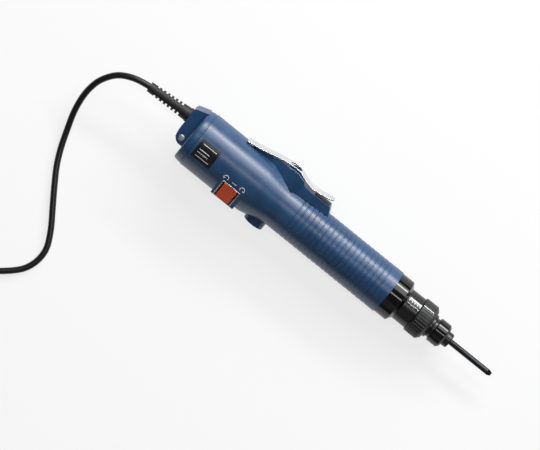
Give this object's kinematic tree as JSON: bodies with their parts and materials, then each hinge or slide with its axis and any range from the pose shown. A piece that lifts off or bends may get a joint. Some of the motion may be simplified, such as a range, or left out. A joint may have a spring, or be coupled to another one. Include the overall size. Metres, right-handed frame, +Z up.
{
  "type": "electric torque screwdriver",
  "caption": "Corded lever-start electric screwdriver with adjustable torque clutch, quick-change bit holder, direction rocker and hanging eye",
  "frame": {"origin": "middle of the tool's bounding box in plan, on the table plane it lies on (cord, coil and plug left out)", "axes": "+X runs from the cord end toward the bit, +Z is up from the table, +Y is the side of the start lever"},
  "size_m": [0.4863, 0.2496, 0.0485],
  "materials": {
    "blue_housing": "glossy moulded blue",
    "black_print": "black foil label",
    "silver_trim": "bright silver trim",
    "red_rocker": "semi-gloss orange red",
    "black_plastic": "satin black moulding",
    "black_rubber": "soft black",
    "cord_sheath": "smooth black sheath",
    "chromed_lever": "polished pressed sheet",
    "black_gloss_metal": "black gloss enamel",
    "black_oxide": "satin black oxide",
    "knurl_black": "matte black, fine ribs",
    "bit_steel": "dark hardened steel",
    "steel": "machined steel",
    "zinc_screw": "zinc-plated",
    "nickel_shell": "nickel-plated",
    "gold_contact": "gold-plated",
    "white_plastic": "natural white",
    "circuit_board": "green laminate",
    "magnet": "sintered ferrite",
    "copper": "copper",
    "brass": "turned brass",
    "carbon": "graphite",
    "zinc_case": "die-cast, machined",
    "bell_plastic": "cream thermoset"
  },
  "bodies": {
    "tool_body": {"housing_left": "blue_housing", "housing_right": "blue_housing", "housing_screws": "zinc_screw", "label_plate": "black_print", "switch_bezel": "silver_trim", "direction_switch": "black_plastic", "rocker_pin": "steel", "start_switch": "black_plastic", "lever_pin": "steel", "lever_pad": "black_rubber", "control_board": "circuit_board", "board_parts": "black_plastic", "cord_clamp": "black_plastic", "clamp_screws": "zinc_screw", "strain_relief": "black_rubber", "supply_cord": "cord_sheath", "cord_coil": "cord_sheath", "cord_tie": "black_rubber", "plug_boot": "black_rubber", "plug_shell": "nickel_shell", "plug_insert": "black_plastic", "plug_pins": "gold_contact", "motor_can": "steel", "motor_magnets": "magnet", "end_bell": "bell_plastic", "brush_holders": "brass", "carbon_brushes": "carbon", "brush_springs": "steel", "brush_caps": "black_plastic", "motor_bearings": "steel", "gear_case": "zinc_case", "ring_gear": "steel", "spindle_bearing": "steel", "clutch_balls": "steel", "clutch_plate": "steel", "clutch_spring": "steel", "front_collar": "black_gloss_metal", "scale_sleeve": "black_oxide"},
    "start_lever": {"start_lever": "chromed_lever"},
    "start_plunger": {"start_plunger": "white_plastic"},
    "direction_rocker": {"direction_rocker": "red_rocker"},
    "spring_seat": {"spring_seat": "steel"},
    "torque_ring": {"torque_ring": "knurl_black"},
    "rotor": {"motor_shaft": "steel", "armature": "copper", "commutator": "copper"},
    "first_carrier": {"first_carrier": "steel"},
    "spindle": {"output_spindle": "steel", "bit_holder": "black_oxide", "retaining_ring": "steel", "detent_ball": "steel", "sleeve_spring": "steel"},
    "release_sleeve": {"release_sleeve": "black_gloss_metal"},
    "driver_bit": {"driver_bit": "bit_steel"},
    "planet_1a": {"planet_1a": "steel"},
    "planet_1b": {"planet_1b": "steel"},
    "planet_1c": {"planet_1c": "steel"},
    "planet_2a": {"planet_2a": "steel"},
    "planet_2b": {"planet_2b": "steel"},
    "planet_2c": {"planet_2c": "steel"}
  },
  "joints": [
    {"name": "lever_press", "type": "hinge", "parent": "tool_body", "child": "start_lever", "pos_m": [-0.08182, 0.01761, 0.02946], "axis": [-0.0367, 0.2504, -0.9675], "range_deg": [0, 1.4], "stiffness_Nm_per_rad": 2, "springref_deg": -1.72},
    {"name": "plunger_press", "type": "slide", "parent": "tool_body", "child": "start_plunger", "axis": [-0.0095, -0.9681, -0.2502], "range_m": [0, 0.00042]},
    {"name": "rocker_tilt", "type": "hinge", "parent": "tool_body", "child": "direction_rocker", "pos_m": [-0.07362, -0.01922, 0.0347], "axis": [-0.0254, -0.7431, -0.6686], "range_deg": [-7, 7]},
    {"name": "torque_travel", "type": "slide", "parent": "tool_body", "child": "spring_seat", "axis": [-0.9993, 0, 0.0379], "range_m": [0, 0.00675], "deforming": ["clutch_spring"]},
    {"name": "torque_turn", "type": "hinge", "parent": "spring_seat", "child": "torque_ring", "pos_m": [0.10684, -0.0033, 0.01689], "axis": [-0.9993, 0, 0.0379], "range_deg": [0, 1620]},
    {"name": "rotor_spin", "type": "hinge", "parent": "tool_body", "child": "rotor", "pos_m": [-0.03806, -0.0033, 0.02239], "axis": [0.9993, 0, -0.0379], "continuous": true},
    {"name": "first_carrier_spin", "type": "hinge", "parent": "tool_body", "child": "first_carrier", "pos_m": [0.0139, -0.0033, 0.02042], "axis": [0.9993, 0, -0.0379], "continuous": true},
    {"name": "spindle_spin", "type": "hinge", "parent": "tool_body", "child": "spindle", "pos_m": [0.10284, -0.0033, 0.01704], "axis": [0.9993, 0, -0.0379], "continuous": true},
    {"name": "planet_1a_spin", "type": "hinge", "parent": "first_carrier", "child": "planet_1a", "pos_m": [0.0166, -0.00127, 0.01247], "axis": [0.9993, 0, -0.0379], "continuous": true},
    {"name": "planet_1b_spin", "type": "hinge", "parent": "first_carrier", "child": "planet_1b", "pos_m": [0.01712, 0.00248, 0.02597], "axis": [0.9993, 0, -0.0379], "continuous": true},
    {"name": "planet_1c_spin", "type": "hinge", "parent": "first_carrier", "child": "planet_1c", "pos_m": [0.01698, -0.01111, 0.02246], "axis": [0.9993, 0, -0.0379], "continuous": true},
    {"name": "planet_2a_spin", "type": "hinge", "parent": "spindle", "child": "planet_2a", "pos_m": [0.026, -0.00127, 0.01211], "axis": [0.9993, 0, -0.0379], "continuous": true},
    {"name": "planet_2b_spin", "type": "hinge", "parent": "spindle", "child": "planet_2b", "pos_m": [0.02651, 0.00248, 0.02562], "axis": [0.9993, 0, -0.0379], "continuous": true},
    {"name": "planet_2c_spin", "type": "hinge", "parent": "spindle", "child": "planet_2c", "pos_m": [0.02638, -0.01111, 0.02211], "axis": [0.9993, 0, -0.0379], "continuous": true},
    {"name": "sleeve_pull", "type": "slide", "parent": "spindle", "child": "release_sleeve", "axis": [-0.9993, 0, 0.0379], "range_m": [0, 0.002], "stiffness_N_per_m": 1500, "springref_m": -0.002, "deforming": ["sleeve_spring"]},
    {"name": "bit_pull", "type": "slide", "parent": "spindle", "child": "driver_bit", "axis": [0.9993, 0, -0.0379], "range_m": [0, 0.028]}
  ],
  "couplings": [
    {"joint": "plunger_press", "follows": "lever_press", "m_per_rad": 0.017},
    {"joint": "torque_turn", "follows": "torque_travel", "rad_per_m": 4188.7},
    {"joint": "first_carrier_spin", "follows": "rotor_spin", "ratio": 0.22222},
    {"joint": "spindle_spin", "follows": "rotor_spin", "ratio": 0.049383},
    {"joint": "planet_1a_spin", "follows": "rotor_spin", "ratio": -0.62222},
    {"joint": "planet_1b_spin", "follows": "rotor_spin", "ratio": -0.62222},
    {"joint": "planet_1c_spin", "follows": "rotor_spin", "ratio": -0.62222},
    {"joint": "planet_2a_spin", "follows": "rotor_spin", "ratio": -0.13827},
    {"joint": "planet_2b_spin", "follows": "rotor_spin", "ratio": -0.13827},
    {"joint": "planet_2c_spin", "follows": "rotor_spin", "ratio": -0.13827}
  ]
}
